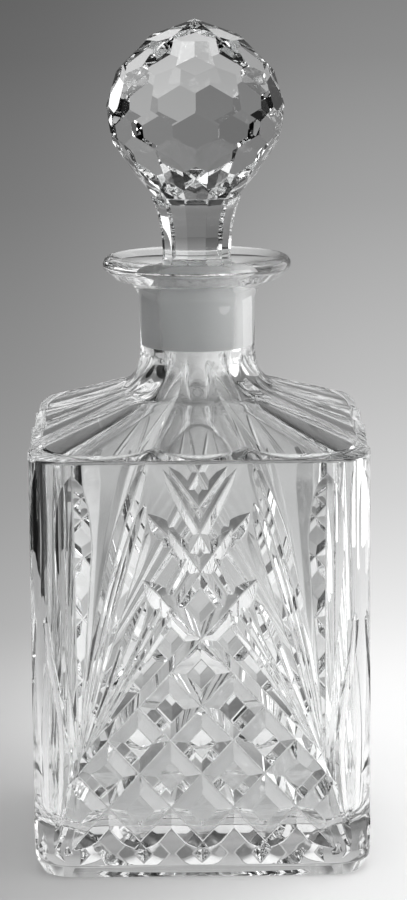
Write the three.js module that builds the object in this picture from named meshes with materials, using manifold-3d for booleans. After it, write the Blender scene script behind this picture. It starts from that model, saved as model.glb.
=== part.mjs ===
// Square cut-glass decanter with a faceted ball stopper ground into its neck.
// Millimetres, +Z up. The origin is the centre of the base, on the surface the decanter stands on.
// The front face looks towards -Y. All four faces carry the same cut pattern.

import * as THREE from 'three';
import { ConvexGeometry } from 'three/addons/geometries/ConvexGeometry.js';
import { ConvexHull } from 'three/addons/math/ConvexHull.js';
import { mergeVertices } from 'three/addons/utils/BufferGeometryUtils.js';
import Module from 'manifold-3d';

// Body
const bodyWidth = 90; // across two opposite faces
const cornerRadius = 9; // upright edges
const wallHeight = 115.8; // straight wall under a shoulder ridge
const heelHeight = 7; // where the wall starts to draw in towards the base
const heelInset = 0.4; // of the wall, down to the base's bevel
const heelCornerRadius = 9.5; // upright edges at the bevel
const baseBevelHeight = 3.4;
const baseBevelInset = 1.6;
const baseHollowRadius = 30; // shallow polished hollow under the base
const baseHollowDepth = 0.8;

// Shoulder
const fluteCount = 12; // hollow flutes, parted by straight ridges
const fluteDepth = 2.8; // at the edge of the shoulder
const shoulderSlope = 21; // degrees from level
const shoulderEdgeRadius = 0.8;
const neckFilletTangent = 8; // from the shoulder's slope to the upright neck

// Neck and lip
const neckRadius = 15.7;
const neckLength = 13.4; // upright part, between the foot fillet and the flare
const flareRadius = 6.3;
const lipRadius = 25.5;
const lipEdgeRadius = 2.2;
const lipHeight = 12.3; // from the start of the flare to the top of the rim
const mouthRadius = 11.6; // where the dished top of the lip meets the bore's chamfer
const mouthDepth = 2.8; // of the dish, below the rim

// Inside
const wallThickness = 3.5;
const floorThickness = 11;
const insideCornerRadius = 7;
const floorFillet = 8;
const shoulderThickness = 5;
const insideEdgeRadius = 1.2;
const throatRadius = 9.6; // clear bore below the ground seat
const seatRunOut = 1.2; // below the plug, where the seat narrows to the clear bore

// Ground seat
const plugRadius = 10.5; // at the top of the ground length
const plugLength = 22;
const plugTaper = 0.04; // loss of radius for each millimetre down
const seatClearance = 0.25; // between the ground plug and its seat
const plugChamfer = 0.8;

// Stopper above the seat
const stemBase = 9.7; // round foot of the stem, on top of the plug
const stemWaist = 9.15; // from the axis to a facet, at the narrowest point
const stemWaistShare = 0.17; // height of the narrowest point, as a share of the stem's length
const stemLength = 16; // from the top of the plug to the foot of the ball
const stemFoot = 10.9; // from the axis to a facet, where the stem meets the ball
const stemSink = 3; // how far the stem runs up into the ball
const facetsAround = 12; // on the stem and in each row of the ball
const ballRadius = 22.9; // from the middle of the ball to a facet of its widest row
const ballRise = 23.4; // from the foot of the ball up to its middle
const crownRise = 26.9; // from the middle up to the point
const crownTilt = 22.5; // degrees from level
const crownFacets = 6;

// Rows of facets under the crown. latitude is in degrees, reach the distance from the ball's middle as
// a share of ballRadius, and shift the part of a facet by which the row is turned.
const ballRows = [
  { latitude: 44, reach: 1.061, shift: 0 },
  { latitude: 16.5, reach: 1.017, shift: 0.5 },
  { latitude: -9.5, reach: 1, shift: 0 },
  { latitude: -33.5, reach: 0.926, shift: 0.5 },
  { latitude: -44, reach: 0.956, shift: 0 },
];

// Cut pattern, the same on each face
const cutMargin = 11.8; // from the face's edge in to the lattice's corner
const latticeFoot = 28.1; // height of the lattice's corners above the base
const latticeRise = 36.7; // from the lattice's corners to its top
const latticeSteps = 4; // crossings between a corner and the top
const fanRise = 3; // of the fan's root above the lattice's corner
const fanInset = 0.6; // of the fan's root from the lattice's corner, towards the middle
const grooveHalfWidth = 3.4;
const grooveDepth = 2.5;
const grooveRunOut = 7; // length over which a groove's end runs out
const borderHalfWidth = 3.1; // of the two long grooves that cross at the lattice's top
const borderReach = 15; // of their tips, past the middle of the face
const lowTip = 8; // height of the lowest tips of the cuts
const cutAbove = 1; // how far a cutter stands out of the face

// The leaves of a fan. x is how far the tip stands from the middle of the face, less than zero on the
// fan's own side, and drop its depth below the straight wall's top. widest is the share of the length
// where the leaf is broadest, and bow how far it bends towards the face's edge.
const leaves = [
  { x: -33.3, drop: 6.3, half: 4.9, widest: 0.75, bow: 0 },
  { x: -14, drop: 3.3, half: 2.3, widest: 0.75, bow: 2.6 },
  { x: -16.6, drop: 16.4, half: 1.5, widest: 0.75, bow: 1.4 },
  { x: -14, drop: 13.8, half: 2.2, widest: 0.75, bow: 0.6 },
  { x: -14.3, drop: 40, half: 2, widest: 0.75, bow: 0 },
  { x: 9.7, drop: 4.8, half: 1.8, widest: 0.8, bow: 0.5 },
  { x: 8.5, drop: 20.7, half: 2.3, widest: 0.85, bow: 1 },
];
const footLeaf = { out: 6, half: 2, widest: 0.6 };

// The line that parts the plain corner from the fan, by its distance in from the face's edge
const cornerLineFoot = 6;
const cornerLineWaist = 8.6;
const cornerLineTop = 4.4;
const cornerWaistRise = 7.9; // of the waist above the lattice's corner
const cornerSweep = 36; // from the waist up to where the line runs out on the rounded edge
const cornerLineHalfWidth = 1.2;

const glass = { color: 0xe4e8ea, roughness: 0.04, metalness: 0 };

const halfWidth = bodyWidth / 2;
const degrees = THREE.MathUtils.degToRad;
const slope = Math.tan(degrees(shoulderSlope));

const wasm = await Module();
wasm.setup();

// Solids

function solidOf(geometry) {
  geometry.deleteAttribute('normal');
  geometry.deleteAttribute('uv');
  const merged = mergeVertices(geometry, 1e-5);
  return new wasm.Manifold(new wasm.Mesh({
    numProp: 3,
    vertProperties: new Float32Array(merged.attributes.position.array),
    triVerts: new Uint32Array(merged.index.array),
  }));
}

function geometryOf(solid) {
  const mesh = solid.getMesh();
  const geometry = new THREE.BufferGeometry();
  geometry.setAttribute('position', new THREE.BufferAttribute(mesh.vertProperties, mesh.numProp));
  geometry.setIndex(new THREE.BufferAttribute(mesh.triVerts, 1));
  return geometry;
}

// A closed solid through rings of equal length, each anticlockwise from above, the lowest first.
function loft(rings) {
  const count = rings[0].length;
  const middle = (ring) => ring.reduce((sum, p) => sum.add(p), new THREE.Vector3()).divideScalar(count);
  const points = [...rings.flat(), middle(rings[0]), middle(rings.at(-1))];
  const bottom = points.length - 2;
  const top = points.length - 1;
  const lastRing = (rings.length - 1) * count;
  const faces = [];
  for (let i = 0; i < count; i++) {
    const next = (i + 1) % count;
    faces.push(bottom, next, i, top, lastRing + i, lastRing + next);
    for (let ring = 0; ring < lastRing; ring += count) {
      const [a, b, c, d] = [ring + i, ring + next, ring + count + next, ring + count + i];
      faces.push(a, b, c, a, c, d);
    }
  }
  const geometry = new THREE.BufferGeometry().setFromPoints(points);
  geometry.setIndex(faces);
  return solidOf(geometry);
}

function lathe(profile, segments, turn = 0) {
  const points = profile.map(([radius, z]) => new THREE.Vector2(radius, z));
  const geometry = new THREE.LatheGeometry(points, segments);
  geometry.rotateX(Math.PI / 2).rotateZ(turn);
  return solidOf(geometry);
}

// Points along an arc in the (radius, z) plane, with both ends.
function arc(centreRadius, centreZ, radius, fromDegrees, toDegrees, steps) {
  return Array.from({ length: steps + 1 }, (_, i) => {
    const angle = degrees(fromDegrees + ((toDegrees - fromDegrees) * i) / steps);
    return [centreRadius + radius * Math.cos(angle), centreZ + radius * Math.sin(angle)];
  });
}

// Distance from the axis to a square with rounded corners, at a polar angle.
function squareReach(angle, half, corner) {
  const quarter = Math.PI / 2;
  const folded = Math.abs(((((angle % quarter) + quarter + quarter / 2) % quarter)) - quarter / 2);
  if (half * Math.tan(folded) <= half - corner) return half / Math.cos(folded);
  const centre = half - corner;
  const along = centre * (Math.cos(folded) + Math.sin(folded));
  const across = centre * (Math.cos(folded) - Math.sin(folded));
  return along + Math.sqrt(corner ** 2 - across ** 2);
}

// A level ring between a circle (squareness 0) and a rounded square (squareness 1).
function ring(angles, half, corner, squareness, z, hollow = () => [0, 0]) {
  return angles.map((angle) => {
    const [inwards, down] = hollow(angle);
    const square = squareReach(angle, half, Math.min(corner, half));
    const reach = half + (square - half) * squareness - inwards;
    return new THREE.Vector3(reach * Math.cos(angle), reach * Math.sin(angle), z - down);
  });
}

// Even steps round a ring, with a few more at each rounded corner.
function ringAngles(steps, half, corner) {
  const cornerSpan = Math.PI / 4 - Math.atan((half - corner) / half);
  const extra = [-1, -0.5, 0.5, 1].map((share) => Math.PI / 4 + share * cornerSpan);
  const angles = Array.from({ length: steps }, (_, i) => (i * 2 * Math.PI) / steps);
  for (let quarter = 0; quarter < 4; quarter++) {
    angles.push(...extra.map((angle) => angle + (quarter * Math.PI) / 2));
  }
  const least = degrees(0.4);
  return angles.sort((a, b) => a - b).filter((angle, i, all) => i === 0 || angle - all[i - 1] > least);
}

// Heights that the bottle and the stopper share

const edgeTurn = 90 - shoulderSlope; // degrees that the shoulder's edge turns through
const edgeIn = halfWidth - shoulderEdgeRadius * (1 - Math.cos(degrees(edgeTurn)));
const edgeTop = wallHeight + shoulderEdgeRadius * Math.sin(degrees(edgeTurn));
const slopeAtNeck = edgeTop + (edgeIn - neckRadius) * slope;
const neckFoot = slopeAtNeck + neckFilletTangent;
const filletRadius = neckFilletTangent / Math.tan(degrees(edgeTurn / 2));
const filletOut = neckRadius + neckFilletTangent * Math.cos(degrees(shoulderSlope));
const flareStart = neckFoot + neckLength;
const rimTop = flareStart + lipHeight;
const mouthZ = rimTop - mouthDepth;
const plugTop = mouthZ;
const plugBottom = plugTop - plugLength;
const ballFoot = plugTop + stemLength;
const ballMiddle = ballFoot + ballRise;

// Bottle

function bottleOutside() {
  const flutePitch = (2 * Math.PI) / fluteCount;
  const stepsPerFlute = 4;
  const angles = ringAngles(fluteCount * stepsPerFlute, halfWidth, cornerRadius);
  const fluteShare = (angle) => {
    const across = (angle / flutePitch - Math.round(angle / flutePitch)) * 2;
    return 1 - across ** 2;
  };
  // The flutes run out where the neck stands upright. Their hollows sink straight down on the
  // shoulder and turn inwards up the fillet.
  const fluted = (half, z, squareness, inwardTurn) => {
    const growth = Math.sqrt(Math.max(half - neckRadius, 0) / (halfWidth - neckRadius));
    const sink = fluteDepth * growth;
    const hollow = (angle) => [
      sink * fluteShare(angle) * Math.sin(inwardTurn),
      sink * fluteShare(angle) * Math.cos(inwardTurn),
    ];
    return ring(angles, half, cornerRadius * squareness, squareness, z, hollow);
  };
  const round = ([radius, z]) => ring(angles, radius, 0, 0, z);

  const edge = arc(halfWidth - shoulderEdgeRadius, wallHeight, shoulderEdgeRadius, 0, edgeTurn, 2);
  const filletSteps = 6;
  const filletFrom = -90 - shoulderSlope;
  const fillet = arc(neckRadius + filletRadius, neckFoot, filletRadius, filletFrom, -180, filletSteps);
  const flare = arc(neckRadius + flareRadius, flareStart, flareRadius, 180, 90, 4);
  const rim = arc(lipRadius - lipEdgeRadius, rimTop - lipEdgeRadius, lipEdgeRadius, -50, 125, 5);
  const heel = [1, 0].map((share) => {
    const corner = cornerRadius + (heelCornerRadius - cornerRadius) * share;
    const z = heelHeight - (heelHeight - baseBevelHeight) * share;
    return ring(angles, halfWidth - heelInset * share ** 2, corner, 1, z);
  });
  return loft([
    ring(angles, halfWidth - heelInset - baseBevelInset, heelCornerRadius, 1, 0),
    ...heel,
    ...edge.map(([half, z]) => fluted(half, z, 1, 0)),
    ...fillet.map(([half, z], i) => {
      const share = i / filletSteps;
      return fluted(half, z, (half - neckRadius) / (filletOut - neckRadius), (share * Math.PI) / 2);
    }),
    ...flare.map(round),
    ...rim.map(round),
    round([mouthRadius, mouthZ]),
  ]);
}

function bottleInside() {
  const half = halfWidth - wallThickness;
  const angles = ringAngles(24, half, insideCornerRadius);
  const square = ([reach, z]) => ring(angles, reach, insideCornerRadius, 1, z);
  const drop = shoulderThickness / Math.cos(degrees(shoulderSlope));
  const outsideAt = (reach) => edgeTop + (edgeIn - reach) * slope;
  const turnIn = half - insideEdgeRadius * (1 - Math.cos(degrees(edgeTurn)));
  const turnTop = outsideAt(turnIn) - drop;
  const turnStart = turnTop - insideEdgeRadius * Math.sin(degrees(edgeTurn));
  const tangent = neckFilletTangent;
  const slopeAtThroat = outsideAt(throatRadius) - drop;
  const filletOutside = throatRadius + tangent * Math.cos(degrees(shoulderSlope));
  const throatFoot = slopeAtThroat + tangent;
  const fillet = arc(throatRadius + filletRadius, throatFoot, filletRadius, -90 - shoulderSlope, -180, 4);
  return loft([
    ...arc(half - floorFillet, floorThickness + floorFillet, floorFillet, -90, 0, 4).map(square),
    ...arc(half - insideEdgeRadius, turnStart, insideEdgeRadius, 0, edgeTurn, 2).map(square),
    ...fillet.map(([reach, z]) => {
      const squareness = (reach - throatRadius) / (filletOutside - throatRadius);
      return ring(angles, reach, insideCornerRadius * squareness, squareness, z);
    }),
    ring(angles, throatRadius, 0, 0, plugBottom),
  ]);
}

function bore() {
  const top = plugRadius + seatClearance;
  const bottom = top - plugTaper * plugLength;
  const over = mouthRadius + (mouthRadius - top);
  return lathe([
    [0, neckFoot - neckFilletTangent],
    [throatRadius, neckFoot - neckFilletTangent],
    [throatRadius, plugBottom - seatRunOut],
    [bottom, plugBottom],
    [top, plugTop - (mouthRadius - top)],
    [over, plugTop + (mouthRadius - top)],
    [0, plugTop + (mouthRadius - top)],
  ], 36);
}

function baseHollow() {
  return lathe([
    [0, -1],
    [baseHollowRadius, -1],
    [baseHollowRadius, 0],
    [baseHollowRadius - 2 * baseHollowDepth, baseHollowDepth],
    [0, baseHollowDepth],
  ], 36);
}

// Cut pattern

// A cut by a wheel with a V edge. The stations along it are [x, z, half-width] on the front face, and it
// runs out where its half-width is zero.
function wheelCut(stations) {
  const flank = grooveHalfWidth / grooveDepth;
  return loft(stations.map(([x, z, cutHalf], i) => {
    const [fromX, fromZ] = stations[Math.max(i - 1, 0)];
    const [toX, toZ] = stations[Math.min(i + 1, stations.length - 1)];
    const side = new THREE.Vector3(fromZ - toZ, 0, toX - fromX).normalize();
    const at = (across, depth) => new THREE.Vector3(x, depth - halfWidth, z).addScaledVector(side, across);
    const open = cutHalf + cutAbove * flank;
    return [at(0, cutHalf / flank), at(open, -cutAbove), at(-open, -cutAbove)];
  }));
}

// A leaf: widest at a share of its length, pointed at both ends, and bowed to its left by bow.
function leaf([fromX, fromZ], [toX, toZ], { half, widest = 0.7, bow = 0, steps = 6 }) {
  const along = new THREE.Vector2(toX - fromX, toZ - fromZ);
  const left = new THREE.Vector2(-along.y, along.x).normalize();
  return wheelCut(Array.from({ length: steps + 1 }, (_, i) => {
    const t = i / steps;
    const swell = t < widest ? t / widest : Math.sqrt(1 - ((t - widest) / (1 - widest)) ** 2);
    const out = 4 * bow * t * (1 - t);
    return [fromX + along.x * t + left.x * out, fromZ + along.y * t + left.y * out, half * swell];
  }));
}

// How a groove runs out: its share of the run-out from the tip, and its share of the full width there.
const runOutShape = [[0, 0], [1 / 3, 0.6], [1, 1]];

// A straight groove of the lattice. Its far end doesn't run out where it lies in another groove.
function groove(from, to, { half = grooveHalfWidth, runsOut = true } = {}) {
  const start = new THREE.Vector2(...from);
  const end = new THREE.Vector2(...to);
  const share = grooveRunOut / start.distanceTo(end);
  const station = (t, width) => [...start.clone().lerp(end, t), width * half];
  const nearEnd = runOutShape.map(([at, width]) => station(share * at, width));
  const runningOut = runOutShape.map(([at, width]) => station(1 - share * at, width)).reverse();
  return wheelCut([...nearEnd, ...(runsOut ? runningOut : [station(1, 1)])]);
}

// The narrow cut along the left edge of the face: it swings in round the fan's root.
function cornerLine() {
  const waist = latticeFoot + cornerWaistRise;
  const quarter = Math.PI / 2;
  const stations = [];
  const footSteps = 3;
  for (let i = 0; i <= footSteps; i++) {
    const t = i / footSteps;
    const inwards = cornerLineFoot + (cornerLineWaist - cornerLineFoot) * Math.sin(quarter * t);
    stations.push([inwards - halfWidth, lowTip + (waist - lowTip) * t, i ? cornerLineHalfWidth : 0]);
  }
  for (const t of [0.25, 0.5, 0.75, 1]) {
    const inwards = cornerLineTop + (cornerLineWaist - cornerLineTop) * Math.cos(quarter * t) ** 2;
    stations.push([inwards - halfWidth, waist + cornerSweep * t, t < 1 ? cornerLineHalfWidth : 0]);
  }
  return wheelCut(stations);
}

// The cuts that start on the left half of the front face. The right half mirrors them.
function leftCuts() {
  const cornerX = -(halfWidth - cutMargin);
  const root = [cornerX + fanInset, latticeFoot + fanRise];
  const stepX = -cornerX / latticeSteps;
  const stepZ = latticeRise / latticeSteps;
  const top = latticeFoot + latticeRise;
  const rising = Array.from({ length: latticeSteps }, (_, i) => {
    const step = i + 1;
    const upper = [step * stepX, top - step * stepZ];
    const down = (upper[1] - lowTip) / stepZ;
    return groove([upper[0] - down * stepX, lowTip], upper, { runsOut: false });
  });
  const borderTip = [borderReach, top + (borderReach * stepZ) / stepX];
  return [
    groove([cornerX, latticeFoot], borderTip, { half: borderHalfWidth }),
    ...rising,
    ...leaves.map((one) => leaf(root, [one.x, wallHeight - one.drop], one)),
    leaf(root, [cornerX - footLeaf.out, lowTip], footLeaf),
    cornerLine(),
  ];
}

function mirrored(solid) {
  return solid.mirror([1, 0, 0]);
}

function cutPattern() {
  return leftCuts().flatMap((cut) => [cut, mirrored(cut)]);
}

function makeBottle() {
  let bottle = bottleOutside();
  for (const cut of cutPattern()) {
    for (let face = 0; face < 4; face++) bottle = bottle.subtract(cut.rotate([0, 0, face * 90]));
  }
  return bottle.subtract(bottleInside()).subtract(bore()).subtract(baseHollow());
}

// Stopper

// The solid inside a set of planes, each given by its outward direction and its distance from the origin.
function insidePlanes(planes) {
  const poles = planes.map(({ normal, distance }) => normal.clone().divideScalar(distance));
  const corners = new ConvexHull().setFromPoints(poles).faces.map((face) =>
    face.normal.clone().divideScalar(face.constant));
  return solidOf(new ConvexGeometry(corners));
}

// Rows of flat facets, each turned half a facet from the next, under a low pointed crown.
function ball() {
  const facing = (latitude, longitude) => new THREE.Vector3(
    Math.cos(latitude) * Math.sin(longitude), -Math.cos(latitude) * Math.cos(longitude), Math.sin(latitude));
  const rowPlanes = (latitude, distance, count, shift) => Array.from({ length: count }, (_, i) => ({
    normal: facing(degrees(latitude), ((i + shift) * 2 * Math.PI) / count),
    distance,
  }));
  const crown = crownRise * Math.cos(degrees(crownTilt));
  return insidePlanes([
    ...rowPlanes(90 - crownTilt, crown, crownFacets, 0),
    ...ballRows.flatMap(({ latitude, reach, shift }) =>
      rowPlanes(latitude, reach * ballRadius, facetsAround, shift)),
    { normal: new THREE.Vector3(0, 0, -1), distance: ballRise },
  ]);
}

function makeStopper() {
  const plugEnd = plugRadius - plugTaper * plugLength;
  const blankRadius = stemFoot + stemSink;
  const blank = lathe([
    [0, -plugLength],
    [plugEnd - plugChamfer, -plugLength],
    [plugEnd, plugChamfer - plugLength],
    [plugRadius, stemBase - plugRadius],
    [stemBase, 0],
    [stemBase, stemLength / 4],
    [blankRadius, stemLength - stemSink],
    [blankRadius, stemLength + stemSink],
    [0, stemLength + stemSink],
  ], 48);
  // The facets run out on the round foot of the stem in a row of shallow scallops.
  const toCorner = 1 / Math.cos(Math.PI / facetsAround);
  const waistSteps = [stemWaistShare, 0.4, 0.6, 0.8, 1, (stemLength + stemSink) / stemLength];
  const facets = lathe([
    [0, -plugLength - stemSink],
    [blankRadius, -plugLength - stemSink],
    [blankRadius, -plugChamfer],
    [stemBase, 0],
    ...waistSteps.map((t) => [stemWaist + (stemFoot - stemWaist) * t ** 3, t * stemLength]),
    [0, stemLength + stemSink],
  ].map(([reach, z]) => [reach * toCorner, z]), facetsAround, Math.PI / facetsAround);
  const stem = blank.intersect(facets).translate([0, 0, plugTop]);
  return stem.add(ball().translate([0, 0, ballMiddle]));
}

const decanter = new THREE.Group();
decanter.name = 'decanter';
for (const [name, solid] of Object.entries({ bottle: makeBottle(), stopper: makeStopper() })) {
  const mesh = new THREE.Mesh(geometryOf(solid), new THREE.MeshStandardMaterial(glass));
  mesh.name = name;
  decanter.add(mesh);
}

export default decanter;
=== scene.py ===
"""Square cut-glass decanter with a faceted ball stopper, dressed for a studio picture.

The bottle and the stopper are modelled in full and stand for the two solids of the fixed frame.
"""

from math import asin, atan2, cos, pi, radians, sin, sqrt, tan

import bmesh
import bpy
from bmesh.types import BMEdge, BMVert
from bpy.props import FloatProperty, FloatVectorProperty, IntProperty, PointerProperty
from mathutils import Matrix, Vector


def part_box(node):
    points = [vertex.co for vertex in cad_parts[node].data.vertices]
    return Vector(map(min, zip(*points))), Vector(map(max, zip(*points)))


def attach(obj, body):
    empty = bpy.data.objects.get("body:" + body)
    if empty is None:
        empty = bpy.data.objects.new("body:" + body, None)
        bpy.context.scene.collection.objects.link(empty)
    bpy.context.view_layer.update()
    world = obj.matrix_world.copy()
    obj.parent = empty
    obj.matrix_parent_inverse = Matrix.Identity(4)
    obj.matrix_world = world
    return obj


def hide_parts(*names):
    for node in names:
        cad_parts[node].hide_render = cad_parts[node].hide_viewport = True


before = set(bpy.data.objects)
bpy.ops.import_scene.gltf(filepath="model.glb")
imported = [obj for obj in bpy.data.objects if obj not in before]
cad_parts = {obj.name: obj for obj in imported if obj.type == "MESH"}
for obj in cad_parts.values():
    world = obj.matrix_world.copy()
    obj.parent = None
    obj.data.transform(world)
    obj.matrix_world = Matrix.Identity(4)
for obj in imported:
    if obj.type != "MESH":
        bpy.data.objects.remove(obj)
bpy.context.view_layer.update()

bl_info = {
    "name": "Cut-glass decanter",
    "version": (1, 0, 0),
    "blender": (4, 5, 0),
    "location": "3D View > Sidebar > Decanter",
    "description": "Builds a square cut-glass decanter, its ball stopper and a pale stage",
    "category": "Object",
}

MM = 0.001
BOTTLE_LOW, BOTTLE_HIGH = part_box("bottle")
STOPPER_LOW, STOPPER_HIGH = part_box("stopper")
HALF_WIDTH = (BOTTLE_HIGH.x - BOTTLE_LOW.x) / 2
RIM_TOP = BOTTLE_HIGH.z
PLUG_BOTTOM = STOPPER_LOW.z
CROWN_TIP = STOPPER_HIGH.z

POLISHED, GROUND = 0, 1  # material slots of both pieces


def length(name, description, millimetres):
    return FloatProperty(name=name, description=description, default=millimetres * MM,
                         min=0, subtype="DISTANCE", unit="LENGTH", precision=4)


def share(name, description, value):
    return FloatProperty(name=name, description=description, default=value, min=0, max=1, subtype="FACTOR")


def slant(name, description, degrees):
    return FloatProperty(name=name, description=description, default=radians(degrees),
                         subtype="ANGLE", unit="ROTATION")


def number_of(name, description, value):
    return IntProperty(name=name, description=description, default=value, min=3)


def colour(name, description, value):
    return FloatVectorProperty(name=name, description=description, default=value, size=3,
                               min=0, max=1, subtype="COLOR")


class DecanterBottleSizes(bpy.types.PropertyGroup):
    corner_radius: length("Corner radius", "Rounding of the upright edges", 9)
    wall_height: length("Wall height", "Straight wall under a ridge of the shoulder", 115.8)
    heel_height: length("Heel height", "Where the wall starts to draw in towards the base", 7)
    heel_inset: length("Heel inset", "How far the wall draws in down to the bevel", 0.4)
    bevel_height: length("Base bevel height", "Height of the bevel round the base", 3.4)
    bevel_inset: length("Base bevel inset", "How far the bevel goes in", 1.6)
    heel_corner: length("Heel corner radius", "Rounding of the upright edges at the bevel", 9.5)
    hollow_radius: length("Base hollow radius", "Polished hollow under the base", 30)
    hollow_depth: length("Base hollow depth", "Depth of the hollow under the base", 0.8)
    flute_count: number_of("Flutes", "Hollow flutes round the shoulder", 12)
    flute_depth: length("Flute depth", "Depth of a flute at the shoulder's edge", 2.8)
    slope: slant("Shoulder slope", "Slope of the shoulder from level", 21)
    edge_radius: length("Shoulder edge radius", "Rounding between the shoulder and the wall", 0.8)
    foot_tangent: length("Neck foot", "From the shoulder's slope to the upright neck", 8)
    neck_radius: length("Neck radius", "Outside of the neck", 15.7)
    flare_radius: length("Flare radius", "Curve from the neck out to the lip", 6.3)
    lip_height: length("Lip height", "From the start of the flare to the rim", 12.3)
    lip_radius: length("Lip radius", "Widest part of the lip", 25.5)
    lip_edge: length("Lip edge", "Rounding of the rim", 2.2)
    mouth_radius: length("Mouth radius", "Where the dished top meets the bore", 11.6)
    mouth_depth: length("Mouth depth", "Depth of the dish below the rim", 2.8)
    wall: length("Wall", "Thickness of the walls", 3.5)
    floor: length("Floor", "Thickness of the base", 11)
    inside_corner: length("Inside corner radius", "Rounding of the inside's upright corners", 7)
    floor_fillet: length("Floor fillet", "Rounding between the floor and the walls inside", 8)
    shoulder_wall: length("Shoulder thickness", "Glass between the shoulder and the inside", 5)
    inside_edge: length("Inside edge radius", "Rounding under the shoulder's edge", 1.2)
    throat_radius: length("Throat radius", "Clear bore below the ground seat", 9.6)
    seat_clearance: length("Seat clearance", "Between the ground plug and its seat", 0.25)
    seat_run_out: length("Seat run-out", "From the end of the ground seat down to the clear bore", 1.2)


class DecanterStopperSizes(bpy.types.PropertyGroup):
    plug_radius: length("Plug radius", "Top of the ground plug", 10.5)
    stem_base: length("Stem base", "Round foot of the stem on top of the plug", 9.7)
    plug_length: length("Plug length", "Length of the ground plug", 22)
    plug_taper: share("Plug taper", "Loss of radius for each unit down", 0.04)
    plug_chamfer: length("Plug chamfer", "Bevel at the plug's lower end", 0.8)
    stem_waist: length("Stem waist", "From the axis to a facet at the narrowest point", 9.15)
    waist_rise: share("Waist rise", "Where the stem is down to its waist, as a share of its length", 0.17)
    stem_length: length("Stem length", "From the plug to the foot of the ball", 16)
    stem_foot: length("Stem foot", "From the axis to a facet where the stem meets the ball", 10.9)
    stem_sink: length("Stem sink", "How far the stem runs up into the ball", 3)
    ball_radius: length("Ball radius", "From the middle to a facet of the widest row", 22.9)
    ball_rise: length("Ball rise", "From the foot of the ball up to its middle", 23.4)
    crown_rise: length("Crown rise", "From the ball's middle up to its point", 26.9)
    crown_tilt: slant("Crown tilt", "Slope of the crown from level", 22.5)
    crown_facets: number_of("Crown facets", "Facets that meet at the point", 6)
    facets: number_of("Facets", "Facets round the stem and each row", 12)


class DecanterCutSizes(bpy.types.PropertyGroup):
    margin: length("Margin", "From the face's edge in to the corner of the lattice", 11.8)
    root_height: length("Lattice corner height", "Height of the lattice's corners above the base", 28.1)
    rise: length("Lattice rise", "From the lattice's corners to its top", 36.7)
    fan_rise: length("Fan rise", "From the lattice's corner up to the fan's root", 3)
    fan_inwards: length("Fan inset", "From the lattice's corner in to the fan's root", 0.6)
    steps: number_of("Crossings", "Crossings between the root and the top", 4)
    half_width: length("Groove half width", "Half the width of a groove of the lattice", 3.4)
    depth: length("Groove depth", "Depth of a groove of the lattice", 2.5)
    edge_round: length("Cut's bottom radius", "Rounding at the bottom of a cut", 0.5)
    lip_round: length("Cut's lip radius", "Rounding that polishing leaves along a cut", 0.8)
    run_out: length("Groove run-out", "Length over which a groove's end runs out", 7)
    border_half: length("Border half width", "Half the width of the grooves that cross at the top", 3.1)
    border_reach: length("Border reach", "Of those grooves' tips past the middle of the face", 15)
    low_tip: length("Low tips", "Height of the lowest tips", 8)
    line_foot: length("Corner line foot", "From the face's edge in to the line's foot", 6)
    line_waist: length("Corner line waist", "From the face's edge in to where the line swings in most", 8.6)
    line_top: length("Corner line top", "From the face's edge in to the line's top", 4.4)
    line_waist_rise: length("Corner line rise", "Height of the waist above the lattice's corner", 7.9)
    line_sweep: length("Corner line sweep", "From the waist up to where the line runs out", 36)
    line_half_width: length("Corner line half width", "Half the width of the line", 1.2)


class DecanterGlassLook(bpy.types.PropertyGroup):
    polished_tint: colour("Polished glass", "Colour of the clear crystal", (0.985, 0.99, 0.99))
    ground_tint: colour("Ground glass", "Colour of the ground plug and its seat", (0.95, 0.96, 0.96))
    refraction: FloatProperty(name="Refractive index", description="Of the crystal", default=1.53, min=1)
    ground_roughness: share("Ground roughness", "Roughness of the ground glass", 0.55)
    ground_clearness: share("Ground clearness", "Share of light that goes into the ground glass", 0.6)
    polished_pass: share("Polished pass", "Share of a lamp's light that a polished surface lets by", 0.82)
    ground_pass: share("Ground pass", "Share of a lamp's light that a ground surface lets by", 0.8)


class DecanterStageLook(bpy.types.PropertyGroup):
    paper_light: share("Paper, light side", "Lightness of the paper at the right", 0.93)
    # painted shade: the paper's base colour is painted darker at the left, where the camera looks
    paper_shade: share("Paper, shaded side", "Lightness of the paper at the left", 0.48)
    paper_in_glass: share("Paper in the glass", "Lightness of the paper as the glass shows it", 0.95)
    camera_target: FloatVectorProperty(name="Camera target", description="Where the camera looks",
                                       default=(1.364 * MM, 0, 107.604 * MM), size=3,
                                       subtype="TRANSLATION", unit="LENGTH", precision=4)
    camera_distance: length("Camera distance", "From the camera to what it looks at", 846.75)
    camera_elevation: slant("Camera elevation", "Height of the view", 10.354)
    camera_yaw: slant("Camera yaw", "Turn of the view about the upright axis", 0.338)
    camera_roll: slant("Camera roll", "Lean of the picture", -0.512)
    focal_pixels: FloatProperty(name="Focal length", description="In picture pixels", default=3089.8)


# Shared shape helpers


def only(kind, geometry):
    """The vertices, or the edges, among what a bmesh operator gives back."""
    return [item for item in geometry if isinstance(item, kind)]


def arc(centre, radius, start, end, steps):
    """Points (reach, height) along an arc, both ends included. Angles are in radians."""
    angles = [start + (end - start) * i / steps for i in range(steps + 1)]
    return [(centre[0] + radius * cos(a), centre[1] + radius * sin(a)) for a in angles]


def towards(start, end, steps):
    """Points (reach, height) on a straight line, from the first step to the end itself."""
    parts = [i / steps for i in range(1, steps + 1)]
    return [tuple(a + (b - a) * part for a, b in zip(start, end)) for part in parts]


def square_reach(angle, half, corner):
    """Distance from the axis to a square with rounded corners."""
    folded = abs((angle + pi / 4) % (pi / 2) - pi / 4)
    flat = half - corner
    if half * tan(folded) <= flat:
        return half / cos(folded)
    across = flat * (cos(folded) - sin(folded))
    return flat * (cos(folded) + sin(folded)) + sqrt(max(corner ** 2 - across ** 2, 0))


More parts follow.
